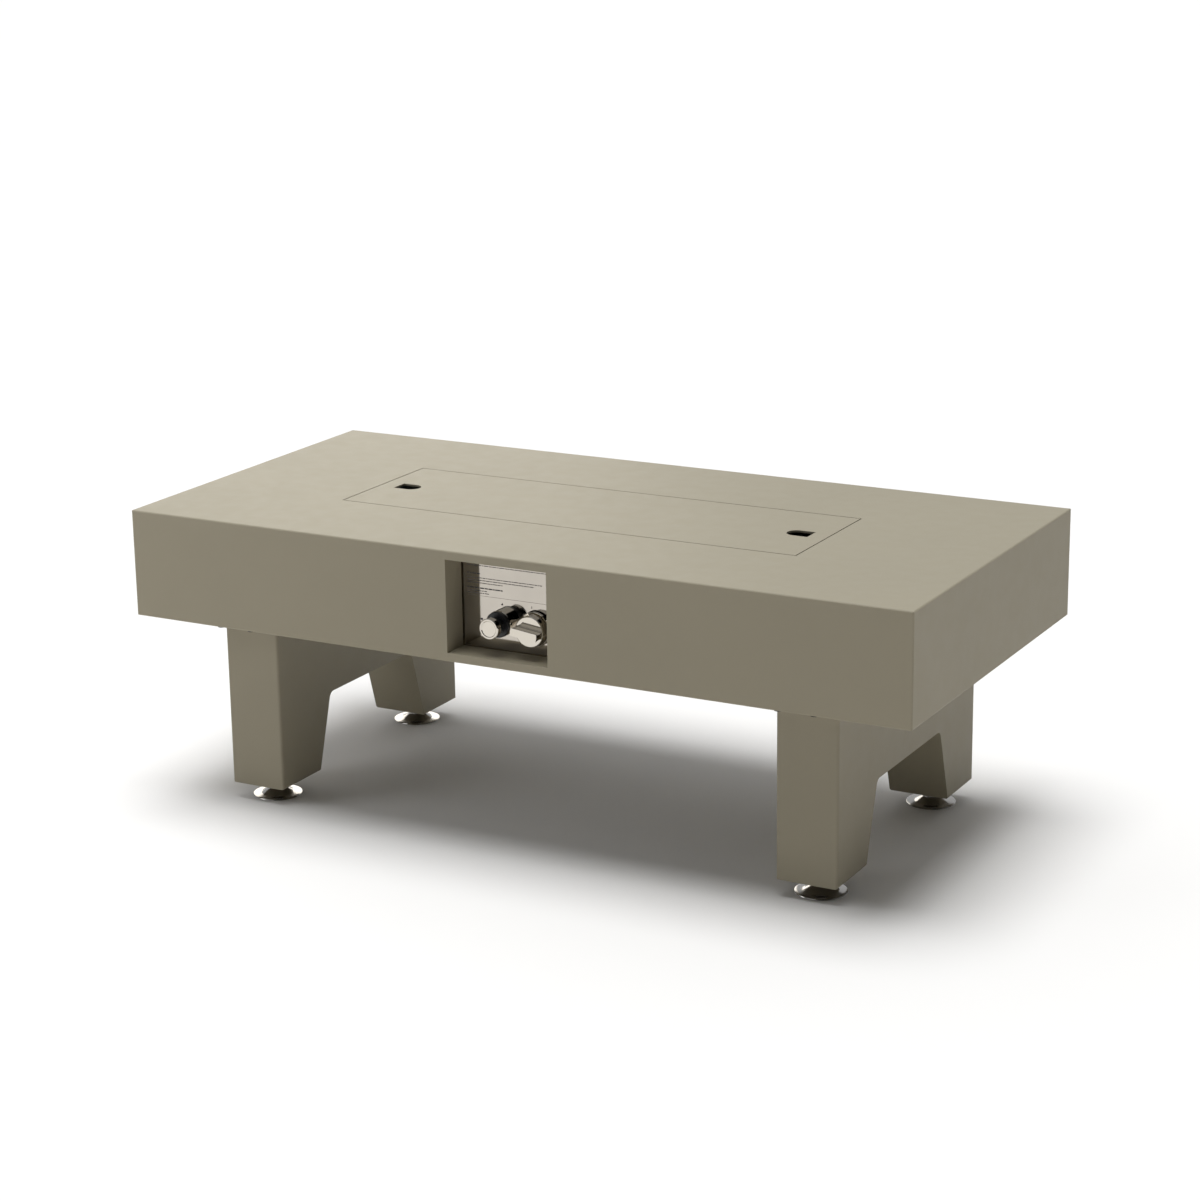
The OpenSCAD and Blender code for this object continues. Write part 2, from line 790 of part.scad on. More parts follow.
// Flexible hose from the valve round to the jet, in one level plane
module gas_hose() {
    run_x = hose_turn_x + hose_bend_r;
    color([0.75, 0.75, 0.72]) translate([0, 0, gas_z]) {
        translate([0, valve_mid_y, 0]) rod_x(hose_r, hose_start_x, hose_turn_x);
        translate([hose_turn_x, valve_mid_y + hose_bend_r, 0]) rotate([0, 0, -90])
            rotate_extrude(angle = 90) translate([hose_bend_r, 0]) circle(hose_r);
        translate([run_x, 0, 0]) rod_y(hose_r, valve_mid_y + hose_bend_r, -hose_bend_r);
        translate([hose_turn_x, -hose_bend_r, 0])
            rotate_extrude(angle = 90) translate([hose_bend_r, 0]) circle(hose_r);
        rod_x(hose_r, hose_end_x, hose_turn_x);
    }
}

module hose_nuts() {
    color([0.80, 0.68, 0.38]) translate([0, 0, gas_z]) {
        translate([outlet_x, valve_mid_y, 0]) rotate([0, 90, 0]) hex(hose_nut_r, hose_nut_t);
        translate([mixer_end_x + jet_len, 0, 0]) rotate([0, 90, 0]) hex(hose_nut_r, hose_nut_t);
    }
}

// Folded bracket on the pan floor for the electrode and the flame sensor
module pilot_bracket() {
    mid_x = (button_x + probe_x)*half;
    len = probe_x - button_x + 2*pilot_margin;
    wall_y = -pilot_shelf_dep*half;
    color([0.66, 0.66, 0.65]) translate([0, pilot_y, pan_floor_z]) difference() {
        translate([mid_x, 0, 0]) along_x(len) {
            translate([wall_y - pilot_foot_dep, 0]) square([pilot_foot_dep + pilot_t, pilot_t]);
            translate([wall_y, 0]) square([pilot_t, pilot_shelf_up]);
            translate([wall_y, pilot_shelf_up - pilot_t]) square([pilot_shelf_dep, pilot_t]);
        }
        translate([button_x, 0, pilot_t]) cylinder(h = pilot_shelf_up, r = insulator_r + seat_gap);
        translate([probe_x, 0, pilot_t]) cylinder(h = pilot_shelf_up, r = probe_r + seat_gap);
    }
}

// Ceramic sleeve of the spark electrode, with a collar on the bracket
module electrode_insulator() {
    color([0.93, 0.91, 0.86]) translate([button_x, pilot_y, pan_floor_z]) difference() {
        union() {
            translate([0, 0, insulator_drop]) cylinder(h = insulator_up - insulator_drop, r = insulator_r);
            translate([0, 0, pilot_shelf_up])
                cylinder(h = 2*insulator_collar, r = insulator_r + insulator_collar);
        }
        translate([0, 0, insulator_up*half]) cylinder(h = insulator_up, r = rod_r);
    }
}

// Spark rod, bent over towards the burner
module electrode_rod() {
    low_z = insulator_up*half;
    bend_z = insulator_up + rod_up;
    color([0.60, 0.58, 0.55]) translate([button_x, pilot_y, pan_floor_z]) rotate([0, 0, 90]) {
        translate([0, 0, low_z]) cylinder(h = bend_z - low_z, r = rod_r);
        translate([rod_bend_r, 0, bend_z]) rotate([90, 0, 0]) rotate([0, 0, 90])
            rotate_extrude(angle = 90) translate([rod_bend_r, 0]) circle(rod_r);
        translate([0, 0, bend_z + rod_bend_r]) rod_x(rod_r, rod_bend_r, rod_bend_r + rod_reach);
    }
}

// Flame sensor: a copper-coloured probe with a shoulder on the bracket
module thermocouple() {
    color([0.72, 0.52, 0.36]) translate([probe_x, pilot_y, pan_floor_z]) {
        translate([0, 0, insulator_drop]) cylinder(h = probe_up - insulator_drop, r = probe_r);
        translate([0, 0, pilot_shelf_up]) cylinder(h = 3*probe_shoulder, r = probe_r + probe_shoulder);
    }
}

// Bent plate hung from the top, between the pan and the controls
module heat_shield() {
    color([0.74, 0.74, 0.75]) translate([0, shield_y, top_under_z]) along_x(shield_len) {
        translate([0, -shield_drop]) square([shield_t, shield_drop]);
        translate([0, -shield_t]) square([shield_flange, shield_t]);
    }
}

// Painted sleeve behind the front opening, with side tabs for the plate
module recess_box() {
    depth = plate_y - plate_gap - front_y - sheet_t;
    mid_y = front_y + sheet_t + depth*half;
    color([0.56, 0.53, 0.46]) translate([0, mid_y, recess_mid_z]) difference() {
        union() {
            along_y(depth) square([recess_wid + 2*recess_t, recess_ht + 2*recess_t], center = true);
            translate([0, depth*half - recess_t*half, 0]) along_y(recess_t)
                square([recess_wid + 2*plate_lap, recess_ht], center = true);
        }
        along_y(depth + 2*cut) square([recess_wid, recess_ht], center = true);
        plate_screw_places() rod_y(plate_screw_r + seat_gap, 0, depth);
    }
}

module plate_screw_places() {
    for (sx = [-1, 1], sz = [-1, 1]) translate([sx*plate_screw_x, 0, sz*plate_screw_z]) children();
}

// Rings on the screws that hold the plate off the sleeve
module plate_spacers() {
    color([0.75, 0.75, 0.76]) translate([0, 0, recess_mid_z]) plate_screw_places() difference() {
        rod_y(plate_spacer_r, plate_y - plate_gap, plate_y);
        rod_y(plate_screw_r + seat_gap, plate_y - plate_gap - cut, plate_y + cut);
    }
}

// Stainless plate that closes the back of the recess
module control_plate() {
    color([0.78, 0.76, 0.74]) difference() {
        translate([0, plate_y + plate_t*half, recess_mid_z]) along_y(plate_t)
            square([recess_wid + 2*plate_lap, recess_ht + 2*plate_lip], center = true);
        translate([0, 0, recess_mid_z]) plate_screw_places()
            rod_y(plate_screw_r + seat_gap, plate_y - cut, plate_back_y + cut);
        translate([button_x, 0, button_z]) rod_y(igniter_r + seat_gap, plate_y - cut, plate_back_y + cut);
        translate([knob_x, 0, knob_z]) rod_y(valve_neck_r + seat_gap, plate_y - cut, plate_back_y + cut);
    }
}

// Round-headed screws from behind the plate into the recess tabs
module plate_screws() {
    color([0.75, 0.75, 0.76]) translate([0, 0, recess_mid_z]) plate_screw_places() {
        rod_y(plate_screw_r, plate_y - plate_gap - recess_t - cut, plate_back_y + cut*half);
        rod_y(plate_screw_head_r, plate_back_y, plate_back_y + plate_screw_head_t);
    }
}

// Black moulding of the igniter: flanged collar before the plate, shank behind it
module igniter_body() {
    bore_r = plunger_rod_r + run_gap;
    neck_r = plunger_r + run_gap;
    flange_r = bezel_r - flange_in;
    color([0.06, 0.06, 0.06]) translate([button_x, 0, button_z]) turned_y([
        [neck_r, collar_y], [flange_r - edge_cut, collar_y], [flange_r, collar_y + edge_cut],
        [flange_r, bezel_y], [collar_r, bezel_y], [collar_r, plate_y], [igniter_r, plate_y],
        [igniter_r, igniter_end_y], [0, igniter_end_y], [0, igniter_bore_y], [bore_r, igniter_bore_y],
        [bore_r, collar_floor_y], [neck_r, collar_floor_y]
    ]);
}

// Chrome ring round the collar, between its flange and the plate
module igniter_bezel() {
    in_r = collar_r + seat_gap;
    color([0.88, 0.88, 0.89]) translate([button_x, 0, button_z]) turned_y([
        [in_r, bezel_y], [bezel_r - edge_cut, bezel_y], [bezel_r, bezel_y + edge_cut],
        [bezel_r, plate_y], [in_r, plate_y]
    ]);
}

module igniter_nut() {
    color([0.20, 0.20, 0.20]) translate([button_x, plate_back_y, button_z]) rotate([-90, 0, 0])
        difference() {
            hex(igniter_nut_r, igniter_nut_t);
            translate([0, 0, -cut]) cylinder(h = igniter_nut_t + 2*cut, r = igniter_r + seat_gap);
        }
}

module igniter_terminal() {
    color([0.80, 0.68, 0.38]) translate([button_x, 0, button_z])
        rod_y(terminal_r, igniter_end_y, igniter_end_y + terminal_len);
}

// Return spring between the plunger rod and the end of the bore
module igniter_spring() {
    color([0.70, 0.70, 0.70]) translate([button_x, 0, button_z])
        coil_y(plunger_rod_r - 2*spring_wire_r, spring_wire_r, spring_turns, rod_end_y, igniter_bore_y);
}

// Chrome cap with a raised rim and a dished front
module button_cap() {
    dish_r = cap_r - cap_rim;
    color([0.88, 0.88, 0.89]) translate([button_x, 0, button_z]) turned_y([
        [0, cap_front_y + cap_dish], [dish_r - cap_dish, cap_front_y + cap_dish],
        [dish_r, cap_front_y], [cap_r - cap_dish, cap_front_y], [cap_r, cap_front_y + cap_dish],
        [cap_r, cap_back_y], [0, cap_back_y]
    ]);
}

// Black neck of the button and the rod that works the spring
module button_plunger() {
    color([0.07, 0.07, 0.07]) translate([button_x, 0, button_z]) {
        rod_y(plunger_r, cap_back_y, plunger_back_y);
        rod_y(plunger_rod_r, plunger_back_y, rod_end_y);
    }
}

// Die-cast valve body with a threaded neck through the plate
module valve_body() {
    color([0.68, 0.68, 0.66]) translate([knob_x, 0, knob_z]) difference() {
        union() {
            translate([0, valve_mid_y, 0]) along_y(valve_len) round_rect(valve_wid, valve_ht, valve_round);
            rod_y(valve_neck_r, neck_y, plate_back_y);
            translate([0, valve_mid_y, 0]) rod_x(outlet_r, 0, valve_wid*half + outlet_len);
        }
        rod_y(stem_r + run_gap, neck_y - cut, plug_front_y + cut);
        rod_y(plug_r + run_gap, plug_front_y, valve_end_y + cut);
    }
}

// Screwed cap that closes the back of the valve
module valve_cap() {
    color([0.80, 0.68, 0.38]) translate([knob_x, 0, knob_z]) {
        rod_y(plug_r - seat_gap, plug_back_y + seat_gap, valve_end_y);
        rod_y(valve_cap_r, valve_end_y, valve_end_y + valve_cap_t);
    }
}

module valve_panel_nut() {
    color([0.75, 0.75, 0.76]) translate([knob_x, plate_y - panel_nut_t, knob_z]) rotate([-90, 0, 0])
        difference() {
            hex(panel_nut_r, panel_nut_t);
            translate([0, 0, -cut]) cylinder(h = panel_nut_t + 2*cut, r = valve_neck_r + seat_gap);
        }
}

// Round bar with two flats, along Y
module flatted_y(r, flat, y0, y1) {
    intersection() {
        rod_y(r, y0, y1);
        translate([-2*r, y0 - cut, -flat]) cube([4*r, y1 - y0 + 2*cut, 2*flat]);
    }
}

// Rotor inside the valve: flatted socket for the stem, gas bore and a side port
// that comes round to the outlet with the knob
module valve_plug() {
    color([0.80, 0.68, 0.38]) translate([knob_x, 0, knob_z]) difference() {
        rod_y(plug_r, plug_front_y + seat_gap, plug_back_y);
        flatted_y(stem_r + run_gap, stem_flat + run_gap, plug_front_y, plug_front_y + plug_bore_depth);
        rod_y(plug_gas_r, plug_back_y - 3*port_r, plug_back_y + cut);
        translate([0, plug_back_y - 2*port_r, -plug_r - cut]) cylinder(h = plug_r + cut, r = port_r);
    }
}

// Return spring of the stem, at the bottom of the rotor's socket
module valve_spring() {
    color([0.70, 0.70, 0.70]) translate([knob_x, 0, knob_z])
        coil_y(stem_flat - 2*valve_wire_r, valve_wire_r, valve_spring_turns, stem_back_y,
            plug_front_y + plug_bore_depth);
}

// Stem: round through the neck, with two flats at both ends
module valve_stem() {
    color([0.72, 0.72, 0.73]) translate([knob_x, 0, knob_z]) difference() {
        rod_y(stem_r, stem_front_y, stem_back_y);
        for (side = [-1, 1]) translate([-stem_r, 0, side > 0 ? stem_flat : -stem_r - cut]) {
            translate([0, plug_front_y - knob_push, 0])
                cube([2*stem_r, stem_into_plug + knob_push + cut, stem_r - stem_flat + cut]);
            translate([0, stem_front_y - cut, 0])
                cube([2*stem_r, neck_y - knob_push - stem_front_y + cut, stem_r - stem_flat + cut]);
        }
    }
}

// Grip bar across the knob face, its flanks hollowed by an arc that takes
// grip_waist off each side at mid height
module knob_grip() {
    flank_r = (pow(grip_ht*half, 2) + pow(grip_waist, 2))/(2*grip_waist);
    root = knob_front_t*half;
    intersection() {
        rod_y(knob_face_r - grip_end, grip_front_y, knob_face_y + root);
        difference() {
            translate([-knob_face_r, grip_front_y, -grip_t*half])
                cube([2*knob_face_r, grip_ht + root, grip_t]);
            for (side = [-1, 1])
                translate([0, knob_face_y - grip_ht*half, side*(grip_t*half - grip_waist + flank_r)])
                    rod_x(flank_r, -knob_face_r - cut, knob_face_r + cut);
        }
    }
}

// Turned body of the knob: flared hollow skirt and hub
module knob_turning() {
    face_in = knob_face_r - knob_wall;
    flare = knob_skirt_r - knob_face_r;
    flare_y = knob_back_y - skirt_band;
    turned_y(concat(
        [[0, knob_face_y], [knob_face_r - knob_edge_r, knob_face_y],
        [knob_face_r, knob_face_y + knob_edge_r]],
        [for (i = [0:arc_steps]) let (a = quarter*i/arc_steps)
            [knob_face_r + flare*(1 - cos(a)), flare_y - flare_len*(1 - sin(a))]],
        [[knob_skirt_r, knob_back_y], [knob_skirt_r - knob_wall, knob_back_y],
        [face_in, flare_y - flare_len*half], [face_in, knob_face_y + knob_front_t],
        [knob_hub_r, knob_face_y + knob_front_t], [knob_hub_r, hub_back_y], [0, hub_back_y]]
    ));
}

// Chrome knob: hollow flared skirt, hub with a flatted bore and a fluted grip bar
module gas_knob() {
    color([0.88, 0.88, 0.89]) translate([knob_x, 0, knob_z]) difference() {
        union() {
            knob_turning();
            rotate([0, grip_tilt, 0]) knob_grip();
        }
        flatted_y(stem_r + run_gap, stem_flat + run_gap, stem_front_y, neck_y);
    }
}

// Inlet union under the valve, for the supply hose
module gas_inlet() {
    color([0.80, 0.68, 0.38]) translate([knob_x, valve_mid_y, valve_under_z - inlet_hex_t - inlet_len])
        difference() {
            union() {
                cylinder(h = inlet_len, r = inlet_r);
                translate([0, 0, inlet_len]) hex(inlet_hex_r, inlet_hex_t);
            }
            translate([0, 0, -cut]) cylinder(h = inlet_len + inlet_hex_t + cut, r = inlet_bore_r);
        }
}

// Lead that runs level from y0 at z0 and turns up to end at z1 under the pilot
module turned_lead(r, bend, x, y0, z0, z1) {
    translate([x, 0, z0]) rod_y(r, y0, pilot_y - bend);
    translate([x, pilot_y - bend, z0 + bend]) rotate([90, 0, 90]) rotate([0, 0, -90])
        rotate_extrude(angle = 90) translate([bend, 0]) circle(r);
    translate([x, pilot_y, z0 + bend]) cylinder(h = z1 - z0 - bend, r = r);
}

module spark_lead() {
    color([0.45, 0.13, 0.10])
        turned_lead(lead_r, lead_bend_r, button_x, igniter_end_y + terminal_len, button_z,
            pan_floor_z + insulator_drop);
}

module thermocouple_lead() {
    color([0.72, 0.52, 0.36])
        turned_lead(probe_lead_r, lead_bend_r, probe_x, valve_end_y, knob_z + probe_port_up,
            pan_floor_z + insulator_drop);
}

// Finger hole: straight towards the lid's end, round towards its middle
module finger_hole() {
    r = finger_wid*half;
    translate([0, -r]) square([finger_len - r, finger_wid]);
    translate([finger_len - r, 0]) circle(r);
}

// Flush lid sheet with two finger holes
module lid_panel() {
    color([0.60, 0.57, 0.50]) translate([0, 0, lid_under_z]) linear_extrude(lid_t) difference() {
        square([lid_len, lid_wid], center = true);
        for (side = [0, 1]) mirror([side, 0])
            translate([-lid_len*half + finger_inset, 0]) finger_hole();
    }
}

// Two hat channels under the lid, clear of the finger holes
module lid_stiffeners() {
    len = lid_len - 4*finger_inset;
    place_y = (lid_wid - stiff_wid)*half - 2*ledge_w;
    web = stiff_wid*stiff_web_share;
    color([0.55, 0.53, 0.47]) for (side = [-1, 1])
        translate([0, side*place_y, lid_under_z - stiff_ht]) along_x(len) difference() {
            union() {
                translate([-stiff_wid*half, stiff_ht - stiff_t]) square([stiff_wid, stiff_t]);
                translate([-web*half, 0]) square([web, stiff_ht]);
            }
            translate([-web*half + stiff_t, stiff_t]) square([web - 2*stiff_t, stiff_ht]);
        }
}

// Rubber pads that rest on the pan flange
module lid_pads() {
    pad_x = flange_len*half - pan_gap - pad_r;
    pad_y = flange_wid*half - pan_gap - pad_r;
    color([0.05, 0.05, 0.05]) for (sx = [-1, 0, 1], sy = [-1, 1])
        translate([sx*pad_x, sy*pad_y, flange_top_z]) cylinder(h = pad_t, r = pad_r);
}

table_shell();
lid_ledge();
left_cross_rail();
right_cross_rail();
rail_screws();
rail_nuts();
left_leg_frame();
right_leg_frame();
leg_bolts();
foot_inserts();
foot_locknuts();
burner_pan();
burner_tube();
burner_saddles();
burner_nipple();
nipple_nut();
gas_elbow();
air_mixer();
gas_jet();
pilot_bracket();
electrode_insulator();
electrode_rod();
thermocouple();
heat_shield();
recess_box();
plate_spacers();
control_plate();
plate_screws();
igniter_body();
igniter_bezel();
igniter_nut();
igniter_terminal();
igniter_spring();
valve_body();
valve_cap();
valve_panel_nut();
gas_inlet();
gas_hose();
hose_nuts();
spark_lead();
thermocouple_lead();
lid_panel();
lid_stiffeners();
lid_pads();
button_cap();
button_plunger();
valve_plug();
valve_spring();
valve_stem();
gas_knob();
front_left_foot();
front_left_stud();
front_right_foot();
front_right_stud();
rear_left_foot();
rear_left_stud();
rear_right_foot();
rear_right_stud();
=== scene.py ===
import json
import math

import bpy
from mathutils import Matrix, Vector


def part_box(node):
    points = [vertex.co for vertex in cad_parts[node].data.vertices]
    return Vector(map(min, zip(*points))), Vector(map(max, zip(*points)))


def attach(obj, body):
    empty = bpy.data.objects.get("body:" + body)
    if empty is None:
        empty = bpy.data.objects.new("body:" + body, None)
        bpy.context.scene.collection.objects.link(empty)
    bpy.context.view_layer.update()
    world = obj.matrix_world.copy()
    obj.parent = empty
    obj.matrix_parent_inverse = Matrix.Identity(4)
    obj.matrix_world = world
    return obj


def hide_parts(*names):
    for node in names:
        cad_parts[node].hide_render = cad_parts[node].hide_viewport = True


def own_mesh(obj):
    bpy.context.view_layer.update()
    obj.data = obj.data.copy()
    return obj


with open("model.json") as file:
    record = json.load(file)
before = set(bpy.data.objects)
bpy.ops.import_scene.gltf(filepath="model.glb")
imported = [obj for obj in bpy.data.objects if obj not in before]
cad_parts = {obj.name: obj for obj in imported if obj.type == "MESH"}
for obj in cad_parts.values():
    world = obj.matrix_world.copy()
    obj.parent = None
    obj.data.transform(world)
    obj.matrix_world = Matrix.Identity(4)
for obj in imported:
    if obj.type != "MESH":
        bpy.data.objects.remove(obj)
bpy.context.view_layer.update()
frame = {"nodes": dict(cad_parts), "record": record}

MM = 0.001
nodes = frame["nodes"]
scene = bpy.context.scene

# Camera: place in metres, the photograph's yaw, pitch and small roll in degrees, lens in millimetres
CAMERA_PLACE = (2.0022, -3.6722, 1.5125)
CAMERA_YAW = 28.576
CAMERA_DOWN = 15.970
CAMERA_ROLL = -0.816
CAMERA_LENS = 86.413
CAMERA_SENSOR = 36.0

# Studio: floor, colours of light, and a wide sun overhead with its angles in degrees
FLOOR_SIZE = 120.0
FLOOR_COLOUR = (0.84, 0.82, 0.79)
COOL = (0.98, 1.0, 1.03)
WARM = (1.0, 0.94, 0.84)
SUN_STRENGTH = 2.72
SUN_SPREAD = 38.0
SUN_TILT = (0.0, -2.0)

# World light: its side, the dot products with it where the light begins and is full, its strength
WORLD_GLOWS = (
    ((-0.55, 0.83, 0.0), -0.5, 0.8, 0.60),
    ((0.0, 0.0, 1.0), 0.5, 0.95, 0.30),
)

# Soft boxes: place, what they face, size in metres, power in watts, colour, seen by matt surfaces
TABLE_MIDDLE = (0.0, 0.0, 0.4)
SOFT_BOXES = {
    "front": ((-1.45, -1.15, 0.95), (-0.6, -0.3, 0.2), 0.7, 4.2, COOL, True),
    "sheen": ((-1.8, 1.9, 1.0), (-0.5, 0.0, 0.45), 1.6, 17.5, WARM, False),
    "front_card": ((-1.2, -4.2, 2.7), TABLE_MIDDLE, 3.2, 17.0, COOL, False),
    "right_card": ((4.4, 0.6, 1.6), TABLE_MIDDLE, 3.0, 6.0, COOL, False),
}

# Colours of the finishes
COAT = (0.298, 0.264, 0.188)
INNER_COAT = (0.29, 0.26, 0.185)
MIRROR_STEEL = (0.478, 0.442, 0.392)
MILL_STEEL = (0.60, 0.60, 0.59)
ZINC = (0.66, 0.67, 0.69)
BLACK_ZINC = (0.05, 0.05, 0.05)
CHROME = (0.60, 0.56, 0.49)
DULL_CHROME = (0.40, 0.385, 0.36)
BRASS = (0.78, 0.60, 0.28)
CAST = (0.50, 0.50, 0.50)
COPPER = (0.75, 0.42, 0.26)
BLACK = (0.012, 0.012, 0.012)
CERAMIC = (0.86, 0.83, 0.74)
HOSE_GREY = (0.20, 0.20, 0.205)
RED_RUBBER = (0.22, 0.02, 0.012)
INK = (0.045, 0.042, 0.040)
PALE_INK = (0.09, 0.083, 0.076)

# Texture: the values that most of a noise lies between, the share of its pitch that a rib is deep,
# pitches in millimetres, and what Blender multiplies a place by in a wave texture
NOISE_LOW = 0.3
NOISE_HIGH = 0.7
RIB_DEPTH_SHARE = 0.25
BRAID_PITCH = 3.0
STUD_PITCH = 1.5
PIPE_PITCH = 1.3
WAVE_FACTORS = {"Z": 20.0, "DIAGONAL": 10.0}

# An edge that turns more than this many degrees stays sharp
SHARP_ANGLE = 32.0

# Feet: where they stand, the points round each, and the outline of one as shares of its radius
# and of its height, from the sole to the stud's pocket
CORNERS = ("front_left", "front_right", "rear_left", "rear_right")
FOOT_STEPS = 96
FOOT_OUTLINE_SHARES = (
    (0.0, 0.0), (0.97, 0.0), (0.99, 0.02), (1.0, 0.06), (0.99, 0.10), (0.97, 0.12), (0.86, 0.14),
    (0.70, 0.17), (0.66, 0.19), (0.60, 0.26), (0.48, 0.42), (0.40, 0.54), (0.355, 0.63), (0.342, 0.72),
    (0.342, 0.97), (0.325, 1.0), (0.135, 1.0), (0.135, 0.315), (0.0, 0.315),
)

# Rows of dashes on the control plate, in millimetres, each with its height over the plate's
# middle, its right end, and whether it is bold
PRINT_LEFT = -75
PRINT_ROWS = (
    (52.4, 66, False), (40.4, -52, True), (34.0, 49, False), (30.3, 35, False), (26.5, -16, False),
    (18.9, -16, True), (14.8, -42, False), (11.3, -38, False),
)
THIN_HIGH = 1.2
BOLD_HIGH = 1.9
DASHES = (6.5, 3.0, 8.0, 4.5, 2.5, 7.0, 5.0)
DASH_GAP = 0.9
LEAST_DASH = 1.5
ROW_SHIFT = 3

# Other marks there, in millimetres: left, low, right and high of a rule from the plate's middle,
# of a tick from the knob's axis and of a mark from the origin, and a spark from the button's axis
RULE = (PRINT_LEFT, 7.3, 78, 7.7)
KNOB_TICK = (-7, 28, -6, 32)
SIDE_MARK = (-54, 346, -50, 349)
SPARK = ((-3.4, 25.5), (-0.4, 23.5), (-1.0, 25.1), (0.8, 25.1), (-1.2, 28.5), (-1.6, 26.5))
MARK_THICK = 0.06
MARK_SUNK = 0.02


class Finish:
    """A procedural material built round one Principled shader."""

    def __init__(self, name, colour, metallic=0.0, roughness=0.5, specular=0.5):
        self.material = bpy.data.materials.new(name)
        self.material.use_nodes = True
        self.tree = self.material.node_tree
        self.shader = self.tree.nodes["Principled BSDF"]
        self.colour = colour
        self.set("Base Color", (*colour, 1.0))
        self.set("Metallic", metallic)
        self.set("Roughness", roughness)
        self.set("Specular IOR Level", specular)
        self.place = self.tree.nodes.new("ShaderNodeTexCoord").outputs["Object"]

    def set(self, socket, value):
        self.shader.inputs[socket].default_value = value

    def node(self, kind, **inputs):
        """A node with each input set, or linked where its value is a socket; _ stands for a space."""
        made = self.tree.nodes.new(kind)
        for name, value in inputs.items():
            socket = made.inputs[name.replace("_", " ")]
            if isinstance(value, bpy.types.NodeSocket):
                self.tree.links.new(value, socket)
            else:
                socket.default_value = value
        return made

    def noise(self, scale, detail=2.0, stretch=(1, 1, 1)):
        """Noise with features about 1/scale metres across, drawn out along an axis with stretch under 1."""
        place = self.node("ShaderNodeMapping", Vector=self.place, Scale=stretch).outputs["Vector"]
        return self.node("ShaderNodeTexNoise", Vector=place, Scale=scale, Detail=detail).outputs["Fac"]

    def bands(self, direction, pitch, turn=(1, 1, 1)):
        """Even waves along an axis, or along the diagonal of all three, pitch metres apart."""
        place = self.node("ShaderNodeMapping", Vector=self.place, Scale=turn).outputs["Vector"]
        scale = 2 * math.pi / (WAVE_FACTORS[direction] * pitch)
        made = self.node("ShaderNodeTexWave", Vector=place, Scale=scale)
        made.bands_direction = direction
        return made.outputs["Fac"]

    def spread(self, value, low, high):
        """The middle of a noise, from NOISE_LOW to NOISE_HIGH, spread over low to high."""
        return self.node("ShaderNodeMapRange", Value=value, From_Min=NOISE_LOW, From_Max=NOISE_HIGH,
                         To_Min=low, To_Max=high).outputs["Result"]

    def vary_roughness(self, noise, low, high):
        self.tree.links.new(self.spread(noise, low, high), self.shader.inputs["Roughness"])
        return self

    def vary_colour(self, noise, amount):
        """Colour between (1 - amount) and (1 + amount) of the base colour."""
        mix = self.tree.nodes.new("ShaderNodeMix")
        mix.data_type = "RGBA"
        self.tree.links.new(self.spread(noise, 0.0, 1.0), mix.inputs["Factor"])
        mix.inputs["A"].default_value = (*[c * (1 - amount) for c in self.colour], 1.0)
        mix.inputs["B"].default_value = (*[c * (1 + amount) for c in self.colour], 1.0)
        self.tree.links.new(mix.outputs["Result"], self.shader.inputs["Base Color"])
        return self

    def bump(self, height, strength, depth):
        bump = self.node("ShaderNodeBump", Height=height, Strength=strength, Distance=depth)
        self.tree.links.new(bump.outputs["Normal"], self.shader.inputs["Normal"])
        return self


def coat_finish(name, colour):
    """Matt powder coat with a fine orange peel."""
    made = Finish(name, colour, roughness=0.55, specular=0.35)
    made.vary_colour(made.noise(scale=5.0, detail=3.0), amount=0.015)
    made.vary_roughness(made.noise(scale=40.0), low=0.53, high=0.59)
    return made.bump(made.noise(scale=700.0, detail=3.0), strength=0.12, depth=0.0003).material


def metal_finish(name, colour, low, high, stretch=(1, 1, 1), grain=400.0, depth=0.0, shade=0.03):
    """Metal with roughness from low to high along its grain, and a slightly uneven shade."""
    made = Finish(name, colour, metallic=1.0)
    made.vary_colour(made.noise(scale=25.0), shade)
    made.vary_roughness(made.noise(grain, stretch=stretch), low, high)
    if depth:
        made.bump(made.noise(grain, stretch=stretch), strength=0.3, depth=depth)
    return made.material


def thread_finish(name, colour, pitch):
    """Metal with the rings of a thread about the Z axis."""
    made = Finish(name, colour, metallic=1.0)
    made.vary_colour(made.noise(scale=60.0), amount=0.05)
    made.vary_roughness(made.noise(scale=300.0), low=0.24, high=0.36)
    return made.bump(made.bands("Z", pitch), strength=1.0, depth=RIB_DEPTH_SHARE * pitch).material


def braid_finish(name, colour, pitch):
    """Woven cover of a hose: two sets of ribs across each other."""
    made = Finish(name, colour, roughness=0.4)
    one = made.bands("DIAGONAL", pitch)
    two = made.bands("DIAGONAL", pitch, turn=(1, -1, 1))
    product = made.node("ShaderNodeMath")
    product.operation = "MULTIPLY"
    made.tree.links.new(one, product.inputs[0])
    made.tree.links.new(two, product.inputs[1])
    weave = product.outputs["Value"]
    made.vary_colour(weave, amount=0.45)
    made.vary_roughness(weave, low=0.55, high=0.38)
    return made.bump(weave, strength=1.0, depth=RIB_DEPTH_SHARE * pitch).material


def plain_finish(name, colour, roughness, grain=500.0, depth=0.0001):
    """Moulded plastic, rubber, ceramic or paint with a faint grain."""
    made = Finish(name, colour, roughness=roughness)
    made.vary_colour(made.noise(scale=60.0), amount=0.06)
    made.vary_roughness(made.noise(grain), low=roughness - 0.05, high=roughness + 0.05)
    return made.bump(made.noise(grain), strength=0.2, depth=depth).material


